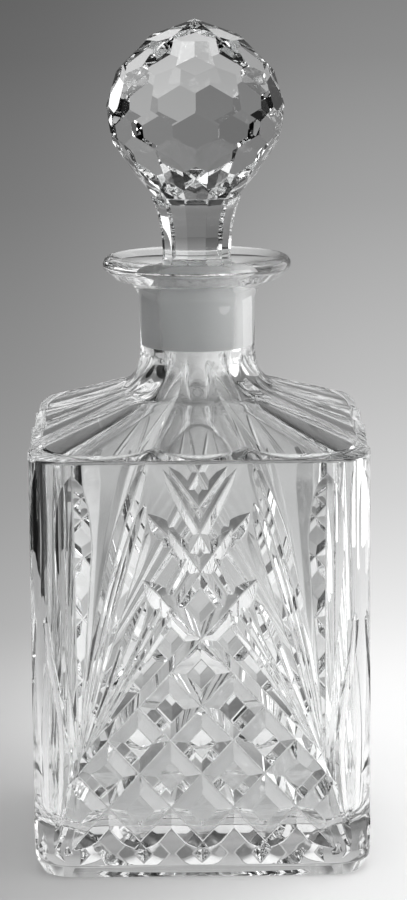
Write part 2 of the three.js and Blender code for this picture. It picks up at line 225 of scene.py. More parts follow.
def round_ring(reach, height, slot=POLISHED):
    """A round, level ring."""
    return lambda angle: (reach, height), slot


def square_ring(half, height, corner, squareness=1):
    """A square, level ring with rounded corners. Squareness 0 makes it round."""
    return lambda angle: (half + (square_reach(angle, half, corner) - half) * squareness, height), POLISHED


def ringed_solid(bm, segments, rings):
    """A closed solid through rings, in an empty bmesh.

    Each ring is (shape, slot): shape gives (reach, height) at an angle, and slot is the material slot of the
    band that ends at the ring.
    """

    def place(verts, shape):
        for vert in verts:
            angle = atan2(vert.co.y, vert.co.x)
            reach, height = shape(angle)
            vert.co = (reach * cos(angle), reach * sin(angle), height)

    bmesh.ops.create_circle(bm, cap_ends=False, segments=segments, radius=1)
    place(bm.verts, rings[0][0])
    first = edges = bm.edges[:]
    for shape, slot in rings[1:]:
        made = bmesh.ops.extrude_edge_only(bm, edges=edges)["geom"]
        place(only(BMVert, made), shape)
        edges = only(BMEdge, made)
        for edge in edges:
            for face in edge.link_faces:
                face.material_index = slot
    for rim in (first, edges):
        bmesh.ops.edgeloop_fill(bm, edges=rim)
    bmesh.ops.recalc_face_normals(bm, faces=bm.faces)


def mesh_object(name, bm, materials=()):
    """A new object at the origin, with its place in its mesh."""
    mesh = bpy.data.meshes.new(name)
    for material in materials:
        mesh.materials.append(material)
    bm.to_mesh(mesh)
    bm.free()
    made = bpy.data.objects.new(name, mesh)
    bpy.context.scene.collection.objects.link(made)
    return made


def apply_modifier(target, modifier):
    with bpy.context.temp_override(object=target, active_object=target, selected_objects=[target]):
        bpy.ops.object.modifier_apply(modifier=modifier.name)


def combine(target, operation, other):
    """Cuts, joins or trims one closed mesh by another, which is then removed."""
    modifier = target.modifiers.new("Combine", "BOOLEAN")
    modifier.operation = operation
    modifier.solver = "MANIFOLD"
    modifier.object = other
    apply_modifier(target, modifier)
    bpy.data.objects.remove(other)


def shade(target, sharp):
    """Smooth shading that keeps edges sharper than the angle, with flat faces left flat."""
    target.data.shade_smooth()
    target.data.set_sharp_from_angle(angle=sharp)
    modifier = target.modifiers.new("Weighted normals", "WEIGHTED_NORMAL")
    modifier.keep_sharp = True
    modifier.weight = 100
    apply_modifier(target, modifier)


# Bottle

BOTTLE_SEGMENTS = 288
HEEL_STEPS = 8
EDGE_STEPS = 5
SLOPE_STEPS = 12
FILLET_STEPS = 14
FLARE_STEPS = 12
RIM_STEPS = 14
DISH_STEPS = 6
SEAT_STEPS = 6
UNDER_STEPS = 8
FLOOR_STEPS = 10
RIM_START, RIM_END = radians(-60), radians(110)
LEVEL = radians(0.05)  # faces that lean less than this from each other are merged
SHARP_CUT = radians(18)  # edges sharper than this stay crisp


class BottleForm:
    """The bottle's outside and inside, each as rings. They share the shoulder's slope and the seat."""

    def __init__(self, sizes, stopper):
        self.sizes = sizes
        self.turn = pi / 2 - sizes.slope
        self.edge_in = HALF_WIDTH - sizes.edge_radius * (1 - cos(self.turn))
        self.edge_top = sizes.wall_height + sizes.edge_radius * sin(self.turn)
        self.fillet_radius = sizes.foot_tangent / tan(self.turn / 2)
        self.plug_top = RIM_TOP - sizes.mouth_depth
        self.seat_top = stopper.plug_radius + sizes.seat_clearance
        self.seat_bottom = self.seat_top - stopper.plug_taper * stopper.plug_length

    def slope_at(self, reach):
        """Height of the shoulder's slope at a distance from the axis."""
        return self.edge_top + (self.edge_in - reach) * tan(self.sizes.slope)

    def fluted(self, half, height, squareness=1, turn=0):
        """A ring with hollow flutes that meet in ridges.

        Along the fillet to the neck, squareness goes from 1 down to 0, and turn from 0 to upright, where the
        flutes have run out.
        """
        sizes = self.sizes
        corner = sizes.corner_radius * squareness
        growth = sqrt(max(half - sizes.neck_radius, 0) / (HALF_WIDTH - sizes.neck_radius))
        sink = sizes.flute_depth * growth * cos(turn) ** 2

        def ring(angle):
            pitch = angle / (2 * pi / sizes.flute_count)
            hollow = sink * (1 - (2 * (pitch - round(pitch))) ** 2)
            square = square_reach(angle, half, corner)
            return half + (square - half) * squareness - hollow * sin(turn), height - hollow * cos(turn)

        return ring, POLISHED

    def heel(self):
        """The wall draws in on a curve and then on a straight ground bevel."""
        sizes = self.sizes
        draw_in = sizes.heel_height - sizes.bevel_height
        rings = [square_ring(HALF_WIDTH - sizes.heel_inset - sizes.bevel_inset, 0, sizes.heel_corner)]
        for i in range(HEEL_STEPS + 1):
            drawn = 1 - i / HEEL_STEPS
            corner = sizes.corner_radius + (sizes.heel_corner - sizes.corner_radius) * drawn
            rings.append(square_ring(HALF_WIDTH - sizes.heel_inset * drawn ** 2,
                                     sizes.heel_height - draw_in * drawn, corner))
        return rings

    def outside(self):
        """Rings from the hollow under the base up to the mouth."""
        sizes = self.sizes
        neck = sizes.neck_radius
        neck_foot = self.slope_at(neck) + sizes.foot_tangent
        edge = arc((HALF_WIDTH - sizes.edge_radius, sizes.wall_height), sizes.edge_radius,
                   0, self.turn, EDGE_STEPS)
        fillet = arc((neck + self.fillet_radius, neck_foot), self.fillet_radius,
                     -pi / 2 - sizes.slope, -pi, FILLET_STEPS)
        slope = towards(edge[-1], fillet[0], SLOPE_STEPS)[:-1]
        flare = arc((neck + sizes.flare_radius, RIM_TOP - sizes.lip_height), sizes.flare_radius,
                    pi, pi / 2, FLARE_STEPS)
        rim = arc((sizes.lip_radius - sizes.lip_edge, RIM_TOP - sizes.lip_edge), sizes.lip_edge,
                  RIM_START, RIM_END, RIM_STEPS)
        dish = towards(rim[-1], (sizes.mouth_radius, self.plug_top), DISH_STEPS)
        hollow = sizes.hollow_radius - 2 * sizes.hollow_depth
        rings = [
            round_ring(hollow / 2, sizes.hollow_depth),
            round_ring(hollow, sizes.hollow_depth),
            round_ring(sizes.hollow_radius, 0),
            *self.heel(),
        ]
        rings += [self.fluted(reach, height) for reach, height in edge + slope]
        reach_out = fillet[0][0]
        for i, (reach, height) in enumerate(fillet):
            squareness = (reach - neck) / (reach_out - neck)
            rings.append(self.fluted(reach, height, squareness, i / FILLET_STEPS * pi / 2))
        return rings + [round_ring(*point) for point in flare + rim + dish]

    def inside(self):
        """Rings from the mouth down through the ground seat to the floor."""
        sizes = self.sizes
        half = HALF_WIDTH - sizes.wall
        corner = sizes.inside_corner
        drop = sizes.shoulder_wall / cos(sizes.slope)
        turn_in = half - sizes.inside_edge * (1 - cos(self.turn))
        turn_start = self.slope_at(turn_in) - drop - sizes.inside_edge * sin(self.turn)
        throat = sizes.throat_radius
        throat_foot = self.slope_at(throat) - drop + sizes.foot_tangent
        seat_start = (self.seat_top, self.plug_top - (sizes.mouth_radius - self.seat_top))
        seat = towards(seat_start, (self.seat_bottom, PLUG_BOTTOM), SEAT_STEPS)
        fillet = arc((throat + self.fillet_radius, throat_foot), self.fillet_radius,
                     -pi, -pi / 2 - sizes.slope, FILLET_STEPS)
        under = arc((half - sizes.inside_edge, turn_start), sizes.inside_edge, self.turn, 0, UNDER_STEPS)
        floor = arc((half - sizes.floor_fillet, sizes.floor + sizes.floor_fillet), sizes.floor_fillet,
                    0, -pi / 2, FLOOR_STEPS)
        rings = [
            round_ring(*seat_start),
            *[round_ring(*point, GROUND) for point in seat],
            round_ring(throat, PLUG_BOTTOM - sizes.seat_run_out),
        ]
        widest = fillet[-1][0]
        for reach, height in fillet:
            squareness = (reach - throat) / (widest - throat)
            rings.append(square_ring(reach, height, corner * squareness, squareness))
        rings += [square_ring(reach, height, corner) for reach, height in under + floor]
        return rings + [square_ring(half / 2, sizes.floor, corner)]


# Cut pattern

PROFILE_STEPS = 3
LIP_STEPS = 3.2  # a little more than the profile's, so that the lip meets the face on a slope
CLEAR_OF_FACE = 1 * MM
THINNEST = 0.01 * MM
LEAF_STEPS = 24
RUN_OUT_STEPS = 6
LINE_LOWER_STEPS = 12
LINE_UPPER_STEPS = 16

LEAVES = (
    # tip from the face's middle, tip below the wall's top, half-width, widest share, bow
    (-33.3, 6.3, 4.9, 0.75, 0),
    (-14, 3.3, 2.3, 0.75, 2.6),
    (-16.6, 16.4, 1.5, 0.75, 1.4),
    (-14, 13.8, 2.2, 0.75, 0.6),
    (-14.3, 40, 2, 0.75, 0),
    (9.7, 4.8, 1.8, 0.8, 0.5),
    (8.5, 20.7, 2.3, 0.85, 1),
)
FOOT_LEAF = (6, 2, 0.6)  # tip out from the lattice's corner, half-width, widest share


def wheel_profile(half, cuts):
    """Half of a cut's section, from its bottom to clear of the face, as (across, depth) points.

    The bottom is the rounded edge of the wheel, and polishing has rounded the lip.
    """
    angle = atan2(cuts.depth, cuts.half_width)
    nominal = half * tan(angle)
    bottom = min(cuts.edge_round, nominal)
    lip = min(cuts.lip_round, nominal)
    points = []
    for i in range(PROFILE_STEPS + 1):
        turn = angle * i / PROFILE_STEPS
        points.append((bottom * sin(turn), nominal - bottom / cos(angle) + bottom * cos(turn)))
    reach = half + lip * tan(angle / 2)
    for i in range(PROFILE_STEPS + 1):
        turn = angle * (1 - i / LIP_STEPS)
        points.append((reach - lip * sin(turn), lip * (1 - cos(turn))))
    points.append((reach + CLEAR_OF_FACE, -CLEAR_OF_FACE))
    return points


def wheel_cut(bm, stations, corner_radius, cuts):
    """What a V-edged wheel takes away along stations (x, z, half-width) on the front face.

    Near the face's left edge it follows the rounded corner.
    """
    rows = []
    last = len(stations) - 1
    for i, (x, z, half) in enumerate(stations):
        from_x, from_z, _ = stations[max(i - 1, 0)]
        to_x, to_z, _ = stations[min(i + 1, last)]
        side = Vector((from_z - to_z, 0, to_x - from_x)).normalized()
        out = max(corner_radius - HALF_WIDTH - x, 0)
        point = Vector((x, corner_radius - sqrt(corner_radius ** 2 - out ** 2) - HALF_WIDTH, z))
        turn = Matrix.Rotation(-asin(out / corner_radius), 3, "Z")
        right = wheel_profile(max(half, THINNEST), cuts)
        section = [(-across, depth) for across, depth in reversed(right[1:])] + right
        rows.append([bm.verts.new(point + turn @ (side * across + Vector((0, depth, 0))))
                     for across, depth in section])
    loops = [[bm.edges.new(pair) for pair in zip(row, row[1:] + row[:1])] for row in rows]
    for loop, after in zip(loops, loops[1:]):
        bmesh.ops.bridge_loops(bm, edges=loop + after)
    for loop in (loops[0], loops[-1]):
        bmesh.ops.edgeloop_fill(bm, edges=loop)


def groove(start, end, half, cuts, runs_out=True):
    """Stations of a straight groove. Its start runs out, and its end too where it isn't in another cut."""
    start, end = Vector(start), Vector(end)
    part = cuts.run_out / (end - start).length
    steps = [i / RUN_OUT_STEPS for i in range(RUN_OUT_STEPS + 1)]
    ease = [(part * step, sin(pi / 2 * step)) for step in steps]
    places = ease + ([(1 - t, swell) for t, swell in reversed(ease)] if runs_out else [(1, 1)])
    return [(*start.lerp(end, t), half * swell) for t, swell in places]


def leaf(start, end, half, widest, bow):
    """Stations of a leaf that swells from its root to the widest share and closes in a round tip.

    The bow is how far its middle leans to the left.
    """
    along = Vector(end) - Vector(start)
    left = Vector((-along.y, along.x)).normalized()
    stations = []
    for i in range(LEAF_STEPS + 1):
        t = i / LEAF_STEPS
        swell = t / widest if t < widest else sqrt(max(1 - ((t - widest) / (1 - widest)) ** 2, 0))
        place = Vector(start) + along * t + left * (4 * bow * t * (1 - t))
        stations.append((place.x, place.y, half * swell))
    return stations


def corner_line(cuts):
    """Stations of the narrow cut along the left edge of the face, which swings in round the fan's root."""
    waist = cuts.root_height + cuts.line_waist_rise
    stations = []
    for i in range(LINE_LOWER_STEPS + 1):
        t = i / LINE_LOWER_STEPS
        inwards = cuts.line_foot + (cuts.line_waist - cuts.line_foot) * sin(pi / 2 * t)
        height = cuts.low_tip + (waist - cuts.low_tip) * t
        stations.append((inwards - HALF_WIDTH, height, cuts.line_half_width * min(4 * t, 1)))
    for i in range(1, LINE_UPPER_STEPS + 1):
        t = i / LINE_UPPER_STEPS
        inwards = cuts.line_top + (cuts.line_waist - cuts.line_top) * cos(pi / 2 * t) ** 2
        height = waist + cuts.line_sweep * t
        stations.append((inwards - HALF_WIDTH, height, cuts.line_half_width * (t < 1)))
    return stations


def left_cuts(sizes, cuts):
    """The stations of each cut on the left half of a face."""
    corner = (cuts.margin - HALF_WIDTH, cuts.root_height)
    fan = (corner[0] + cuts.fan_inwards, corner[1] + cuts.fan_rise)
    step_x = -corner[0] / cuts.steps
    step_z = cuts.rise / cuts.steps
    top = cuts.root_height + cuts.rise
    border_tip = (cuts.border_reach, top + cuts.border_reach * step_z / step_x)
    made = [groove(corner, border_tip, cuts.border_half, cuts)]
    for step in range(1, cuts.steps + 1):
        upper = (step * step_x, top - step * step_z)
        down = (upper[1] - cuts.low_tip) / step_z
        lower = (upper[0] - down * step_x, cuts.low_tip)
        made.append(groove(lower, upper, cuts.half_width, cuts, runs_out=False))
    for x, drop, half, widest, bow in LEAVES:
        tip = (x * MM, sizes.wall_height - drop * MM)
        made.append(leaf(fan, tip, half * MM, widest, bow * MM))
    out, half, widest = FOOT_LEAF
    made.append(leaf(fan, (corner[0] - out * MM, cuts.low_tip), half * MM, widest, 0))
    made.append(corner_line(cuts))
    return made


def cutter(stations, mirror, sizes, cuts):
    """One mesh that makes the same cut in all four faces, mirrored where mirror is -1."""
    bm = bmesh.new()
    wheel_cut(bm, stations, sizes.corner_radius, cuts)
    bm.transform(Matrix.Diagonal((mirror, 1, 1, 1)))
    geometry = bm.verts[:] + bm.edges[:] + bm.faces[:]
    for face in range(1, 4):
        copy = bmesh.ops.duplicate(bm, geom=geometry)["geom"]
        quarters = Matrix.Rotation(face * pi / 2, 3, "Z")
        bmesh.ops.rotate(bm, cent=(0, 0, 0), matrix=quarters, verts=only(BMVert, copy))
    bmesh.ops.recalc_face_normals(bm, faces=bm.faces)
    return mesh_object("cutter", bm)


class DECANTER_OT_bottle(bpy.types.Operator):
    """Builds the cut-glass bottle."""
    bl_idname = "decanter.bottle"
    bl_label = "Bottle"

    def execute(self, context):
        scene = context.scene
        sizes = scene.decanter_bottle
        cuts = scene.decanter_cuts
        form = BottleForm(sizes, scene.decanter_stopper)
        bm = bmesh.new()
        ringed_solid(bm, BOTTLE_SEGMENTS, form.outside() + form.inside())
        bmesh.ops.dissolve_limit(bm, angle_limit=LEVEL, verts=bm.verts, edges=bm.edges)
        bottle = mesh_object("cut_glass_bottle", bm, glass_materials())
        for stations in left_cuts(sizes, cuts):
            for mirror in (1, -1):
                combine(bottle, "DIFFERENCE", cutter(stations, mirror, sizes, cuts))
        shade(bottle, SHARP_CUT)
        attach(bottle, "bottle")
        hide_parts("bottle")
        return {"FINISHED"}


# Stopper

PLUG_SEGMENTS = 192
STEM_STEPS = 20
SHARP_FACET = radians(12)
SAME_POINT = 1e-7  # points of a slice closer than this are one

BALL_ROWS = (
    # latitude in degrees, distance from the middle in ball radii, turn in facets
    (44, 1.061, 0),
    (16.5, 1.017, 0.5),
    (-9.5, 1, 0),
    (-33.5, 0.926, 0.5),
    (-44, 0.956, 0),
)


def slice_off(bm, point, normal):
    """Cuts a closed solid by a plane and closes the cut."""
    geometry = bm.verts[:] + bm.edges[:] + bm.faces[:]
    cut = bmesh.ops.bisect_plane(bm, geom=geometry, plane_co=point, plane_no=normal,
                                 clear_outer=True, dist=SAME_POINT)["geom_cut"]
    edges = only(BMEdge, cut)
    if edges:
        bmesh.ops.edgeloop_fill(bm, edges=edges)


def faceted_ball(sizes):
    """A block from which the crown, the rows of facets and the flat foot are sliced."""
    middle = Vector((0, 0, CROWN_TIP - sizes.crown_rise))
    bm = bmesh.new()
    bmesh.ops.create_cube(bm, size=4 * sizes.crown_rise, matrix=Matrix.Translation(middle))
    rows = [(pi / 2 - sizes.crown_tilt, sizes.crown_rise * cos(sizes.crown_tilt), 0, sizes.crown_facets)]
    rows += [(radians(latitude), reach * sizes.ball_radius, shift, sizes.facets)
             for latitude, reach, shift in BALL_ROWS]
    for latitude, distance, shift, facets in rows:
        for i in range(facets):
            longitude = (i + shift) * 2 * pi / facets
            normal = Vector((cos(latitude) * sin(longitude), -cos(latitude) * cos(longitude), sin(latitude)))
            slice_off(bm, middle + normal * distance, normal)
    slice_off(bm, middle - Vector((0, 0, sizes.ball_rise)), Vector((0, 0, -1)))
    return mesh_object("ball", bm, glass_materials())


def plug_and_blank(sizes, plug_top, blank):
    """The ground plug, with a round blank for the stem on top."""
    end = sizes.plug_radius - sizes.plug_taper * sizes.plug_length
    bm = bmesh.new()
    ringed_solid(bm, PLUG_SEGMENTS, [round_ring(reach, plug_top + height, slot) for reach, height, slot in (
        (end - sizes.plug_chamfer, -sizes.plug_length, GROUND),
        (end, sizes.plug_chamfer - sizes.plug_length, GROUND),
        (sizes.plug_radius, sizes.stem_base - sizes.plug_radius, GROUND),
        (sizes.stem_base, 0, POLISHED),
        (sizes.stem_base, sizes.stem_length / 4, POLISHED),
        (blank, sizes.stem_length - sizes.stem_sink, POLISHED),
        (blank, sizes.stem_length + sizes.stem_sink, POLISHED),
    )])
    return mesh_object("faceted_stopper", bm, glass_materials())


def stem_facets(sizes, plug_top, blank):
    """The many-sided form that the stem is trimmed to. It is wide at the plug, which stays whole."""
    bm = bmesh.new()
    to_corner = 1 / cos(pi / sizes.facets)
    profile = [(blank, -2 * sizes.plug_length), (blank, -sizes.plug_chamfer), (sizes.stem_base, 0)]
    for i in range(1, STEM_STEPS + 1):
        t = i / STEM_STEPS * (sizes.stem_length + sizes.stem_sink) / sizes.stem_length
        ease = min(t / sizes.waist_rise, 1)
        start = sizes.stem_base + (sizes.stem_waist - sizes.stem_base) * ease
        profile.append((start + (sizes.stem_foot - sizes.stem_waist) * t ** 3, t * sizes.stem_length))
    ringed_solid(bm, sizes.facets, [round_ring(reach * to_corner, plug_top + height)
                                    for reach, height in profile])
    bm.transform(Matrix.Rotation(pi / sizes.facets, 4, "Z"))
    return mesh_object("stem_facets", bm)


class DECANTER_OT_stopper(bpy.types.Operator):
    """Builds the faceted stopper with its ground plug."""
    bl_idname = "decanter.stopper"
    bl_label = "Stopper"

    def execute(self, context):
        sizes = context.scene.decanter_stopper
        plug_top = PLUG_BOTTOM + sizes.plug_length
        blank = sizes.stem_foot + sizes.stem_sink
        ball = faceted_ball(sizes)
        stem = plug_and_blank(sizes, plug_top, blank)
        combine(stem, "INTERSECT", stem_facets(sizes, plug_top, blank))
        combine(stem, "UNION", ball)
        shade(stem, SHARP_FACET)
        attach(stem, "stopper")
        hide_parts("stopper")
        return {"FINISHED"}


# Material helpers


def node(tree, kind, **settings):
    """A new node with its properties set. A key that names an input socket sets that socket's value."""
    made = tree.nodes.new("ShaderNode" + kind)
    for key, value in settings.items():
        if hasattr(made, key):
            setattr(made, key, value)
        else:
            made.inputs[key.replace("_", " ")].default_value = value
    return made


def new_material(name, **settings):
    """A material, its node tree and its main shader. Each key names an input of that shader."""
    made = bpy.data.materials.new(name)
    made.use_nodes = True
    shader = made.node_tree.nodes["Principled BSDF"]
    for key, value in settings.items():
        shader.inputs[key.replace("_", " ")].default_value = value
    return made, made.node_tree, shader


def maths(tree, operation, *values):
    """The result of one Math node. Each value is a socket or a plain number."""
    made = node(tree, "Math", operation=operation)
    for socket, value in zip(made.inputs, values):
        if isinstance(value, bpy.types.NodeSocket):
            tree.links.new(value, socket)
        else:
            socket.default_value = value
    return made.outputs["Value"]


def ramp(tree, value, start, end, low=0, high=1, smooth=False):
    """Goes from low to high as the value goes from start to end, and stays there outside them."""
    made = node(tree, "MapRange", From_Min=start, From_Max=end, To_Min=low, To_Max=high,
                interpolation_type="SMOOTHSTEP" if smooth else "LINEAR")
    tree.links.new(value, made.inputs["Value"])
    return made.outputs["Result"]


def axes(tree, kind="Object"):
    """The coordinates of a point, whole and as X, Y and Z."""
    place = node(tree, "TexCoord").outputs[kind]
    apart = node(tree, "SeparateXYZ")
    tree.links.new(place, apart.inputs["Vector"])
    return place, *apart.outputs


def is_ray(tree, kind):
    """1 for rays of this kind, such as Camera or Shadow, and 0 for others."""
    return node(tree, "LightPath").outputs[f"Is {kind} Ray"]


def seen_or(tree, lit):
    """Full strength where the camera itself looks, so that only the glass sees the room's dark part."""
    return maths(tree, "MAXIMUM", is_ray(tree, "Camera"), lit)


def show_mixed(tree, part, first, second):
    """The material's surface: the first shader where the part is 0, and the second where it is 1."""
    mix = node(tree, "MixShader")
    tree.links.new(part, mix.inputs["Fac"])
    tree.links.new(first, mix.inputs[1])
    tree.links.new(second, mix.inputs[2])
    tree.links.new(mix.outputs["Shader"], tree.nodes["Material Output"].inputs["Surface"])


# Glass


def noise_bump(tree, shader, scale, detail, roughness, strength, distance):
    """Unevenness of the surface."""
    uneven = node(tree, "TexNoise", Scale=scale, Detail=detail, Roughness=roughness)
    bump = node(tree, "Bump", Strength=strength, Distance=distance)
    tree.links.new(node(tree, "TexCoord").outputs["Object"], uneven.inputs["Vector"])
    tree.links.new(uneven.outputs["Fac"], bump.inputs["Height"])
    tree.links.new(bump.outputs["Normal"], shader.inputs["Normal"])


def let_light_through(tree, shader, passed):
    """Glass throws only a light shadow: each surface passes this share of the lamps' light."""
    clear = node(tree, "BsdfTransparent", Color=(passed, passed, passed, 1))
    show_mixed(tree, is_ray(tree, "Shadow"), shader.outputs["BSDF"], clear.outputs["BSDF"])


def polished_crystal(look):
    """Clear colourless crystal with the slight unevenness that acid polishing leaves."""
    made, tree, shader = new_material("polished_crystal", Base_Color=(*look.polished_tint, 1), Roughness=0,
                                      IOR=look.refraction, Transmission_Weight=1)
    noise_bump(tree, shader, scale=70, detail=1, roughness=0.4, strength=0.02, distance=2 * MM)
    let_light_through(tree, shader, look.polished_pass)
    return made


def ground_crystal(look):
    """The frosted grey-white surface of the ground plug and its seat."""
    made, tree, shader = new_material("ground_crystal", Base_Color=(*look.ground_tint, 1),
                                      Roughness=look.ground_roughness, IOR=look.refraction,
                                      Transmission_Weight=look.ground_clearness)
    noise_bump(tree, shader, scale=4000, detail=2, roughness=0.5, strength=0.3, distance=0.05 * MM)
    let_light_through(tree, shader, look.ground_pass)
    return made


def glass_materials():
    """Both glass materials, in the order of the slots. They are made once."""
    look = bpy.context.scene.decanter_glass
    makers = (polished_crystal, ground_crystal)
    return [bpy.data.materials.get(make.__name__) or make(look) for make in makers]


# Stage: places are in metres, and a fade is (start, end) or (start, end, value at start, value at end)

FLOOR_DROP = 0.1 * MM
FLOOR_RADIUS = 12
PAPER_TO_FLOOR = (0.08, 0.26)
# painted shade on the paper: from its shaded left to its light right in X, slanted along Y
PAPER_PAINTED_SHADE_EDGE = (-0.065, 0.02)
PAPER_PAINTED_SHADE_SLANT = 0.15
# Far floor: a glow of painted light in greys that darken with distance, with painted shade to the left and
# painted dark in front for the glass
FLOOR_DECADES = (-1, 1)  # from 0.1 to 10 metres away
FLOOR_PAINTED_FALLOFF_GREYS = ((0, 0.9), (0.2, 0.66), (0.34, 0.5), (0.45, 0.4), (0.62, 0.28), (0.8, 0.2), (1, 0.16))
FLOOR_VIEW_START, FLOOR_VIEW_GROWTH = 0.06, 0.08  # half of the floor's width in the picture
# painted shade: the far floor's glow from its darker left to its lighter right
FLOOR_PAINTED_SHADE_ACROSS = (-1, 1, 0.68, 1.32)
# painted dark: the far floor's glow fades in front, where only the glass sees it
FLOOR_PAINTED_DARK_IN_FRONT = (-0.25, -0.1, 0.05, 1)

ROOM_IN_FRONT = (-0.1, 0.3, 0.02, 1)
ROOM_ACROSS = (-0.6, 0.6, 0.14, 0.27)
ROOM_ABOVE = (0.5, 0.8, 1, 0.1)

CARD_PLACE = (0, 0.3, 0.07)
CARD_WIDTH, CARD_HEIGHT = 0.7, 0.1
CARD_UP = (0.04, 0.1, 0.6, 0.4)
CARD_ACROSS = (-0.1, 0.1, 0.85, 1.15)
CARD_END_FADE = (0.2, 0.34, 1, 0)
CARD_TOP_FADE = (0.08, 0.11, 1, 0)
CARD_FOOT_FADE = (0.025, 0.045)

FLAG_END = (-0.353, -0.031)
FLAG_SWEEP, FLAG_HEIGHT = 60, 0.45
STRIP_SWEEP, STRIP_LOW, STRIP_HIGH = 25, 0.055, 0.08
FELT_BLACK = (0.004, 0.004, 0.004, 1)

LAMP_AIM = Vector((0, 0, 0.1))
LAMPS = {
    # name: (place, width, height, watts, whether the glass shows it)
    "window": ((0.31, 0.18, 0.14), 0.25, 0.28, 0.3, True),
    "front_light": ((0.5, -0.35, 0.25), 0.3, 0.4, 1.2, True),
    "top_softbox": ((0.2, 0, 1.3), 1.2, 1.2, 22, False),
}

PICTURE_HEIGHT = 900
SENSOR_HEIGHT = 24
GLASS_BOUNCES, GLOSSY_BOUNCES = 32, 16  # a ray goes through many surfaces of cut glass


def paper_lightness(tree, look, x, y):
    """Painted shade towards the left where the camera looks, and light all round where the glass does."""
    slanted = maths(tree, "MULTIPLY_ADD", y, PAPER_PAINTED_SHADE_SLANT, x)
    # painted shade: the paper is darker towards the left
    shaded = ramp(tree, slanted, *PAPER_PAINTED_SHADE_EDGE, look.paper_shade, look.paper_light)
    unseen = ramp(tree, is_ray(tree, "Camera"), 0, 1, look.paper_in_glass, 0)
    return maths(tree, "MAXIMUM", shaded, unseen)


def far_floor(tree, away, x, y):
    """A glow of painted light: grey that deepens with distance as painted falloff, painted shade darker
    towards the left, and painted dark for the glass in front.
    """
    # painted falloff of light: greys that deepen with distance
    grey = node(tree, "ValToRGB")
    stops = grey.color_ramp.elements
    for position, _ in FLOOR_PAINTED_FALLOFF_GREYS[1:-1]:
        stops.new(position)
    for stop, (_, level) in zip(stops, FLOOR_PAINTED_FALLOFF_GREYS):
        stop.color = (level, level, level, 1)
    decades = maths(tree, "LOGARITHM", away, 10)
    tree.links.new(ramp(tree, decades, *FLOOR_DECADES), grey.inputs["Fac"])
    half_view = maths(tree, "MULTIPLY_ADD", away, FLOOR_VIEW_GROWTH, FLOOR_VIEW_START)
    # painted shade: the glow is weaker towards the left
    across = ramp(tree, maths(tree, "DIVIDE", x, half_view), *FLOOR_PAINTED_SHADE_ACROSS, smooth=True)
    # painted dark: the glow fades in front for the glass, while the camera sees full strength
    in_front = ramp(tree, y, *FLOOR_PAINTED_DARK_IN_FRONT, smooth=True)
    # the far floor glows though it is no lamp: painted light
    glow = node(tree, "Emission")
    tree.links.new(grey.outputs["Color"], glow.inputs["Color"])
    tree.links.new(maths(tree, "MULTIPLY", across, seen_or(tree, in_front)), glow.inputs["Strength"])
    return glow.outputs["Emission"]


def floor_material(look):
    """White paper round the decanter, with painted shade on its left, that goes over into a grey floor with
    distance, which glows in painted greys.
    """
    made, tree, shader = new_material("floor_with_painted_shade", Roughness=0.8)
    place, x, y, _ = axes(tree)
    measure = node(tree, "VectorMath", operation="LENGTH")
    tree.links.new(place, measure.inputs[0])
    away = measure.outputs["Value"]
    # the paper's base colour, with painted shade at the left
    tree.links.new(paper_lightness(tree, look, x, y), shader.inputs["Base Color"])
    far = ramp(tree, away, *PAPER_TO_FLOOR, smooth=True)
    show_mixed(tree, far, shader.outputs["BSDF"], far_floor(tree, away, x, y))
    return made


def set_world(scene):
    """A plain room: grey behind the decanter, brighter on the right, dark above and behind the camera."""
    world = bpy.data.worlds.new("studio")
    scene.world = world
    world.use_nodes = True
    tree = world.node_tree
    _, x, y, z = axes(tree, "Generated")
    in_front = ramp(tree, y, *ROOM_IN_FRONT, smooth=True)
    above = ramp(tree, z, *ROOM_ABOVE, smooth=True)
    lit = seen_or(tree, maths(tree, "MULTIPLY", in_front, above))
    background = tree.nodes["Background"]
    background.inputs["Color"].default_value = (1, 1, 1, 1)
    tree.links.new(maths(tree, "MULTIPLY", lit, ramp(tree, x, *ROOM_ACROSS)), background.inputs["Strength"])


def card_material():
    """Light that is strongest low down and at the right, and fades out towards the card's edges."""
    made, tree, _ = new_material("lit_card")
    _, x, _, z = axes(tree)
    glow = node(tree, "Emission")
    strength = maths(tree, "MULTIPLY", ramp(tree, z, *CARD_UP), ramp(tree, x, *CARD_ACROSS))
    tree.links.new(strength, glow.inputs["Strength"])
    ends = ramp(tree, maths(tree, "ABSOLUTE", x), *CARD_END_FADE, smooth=True)
    top = ramp(tree, z, *CARD_TOP_FADE, smooth=True)
    foot = ramp(tree, z, *CARD_FOOT_FADE, smooth=True)
    cover = maths(tree, "MULTIPLY", maths(tree, "MULTIPLY", ends, top), foot)
    show_mixed(tree, cover, node(tree, "BsdfTransparent").outputs["BSDF"], glow.outputs["Emission"])
    return made


def show_in_glass_only(screen):
    """It neither shows in the picture itself nor lights or shades the floor."""
    screen.visible_camera = False
    screen.visible_diffuse = False
    screen.visible_shadow = False


def white_card():
    """A low card of light behind the decanter, seen only through the glass, that keeps its body light."""
    bm = bmesh.new()
    upright = Matrix.Translation(CARD_PLACE) @ Matrix.Rotation(pi / 2, 4, "X")
    bmesh.ops.create_grid(bm, size=0.5, matrix=upright @ Matrix.Diagonal((CARD_WIDTH, CARD_HEIGHT, 1, 1)))
    card = mesh_object("white_card", bm, [card_material()])
    show_in_glass_only(card)


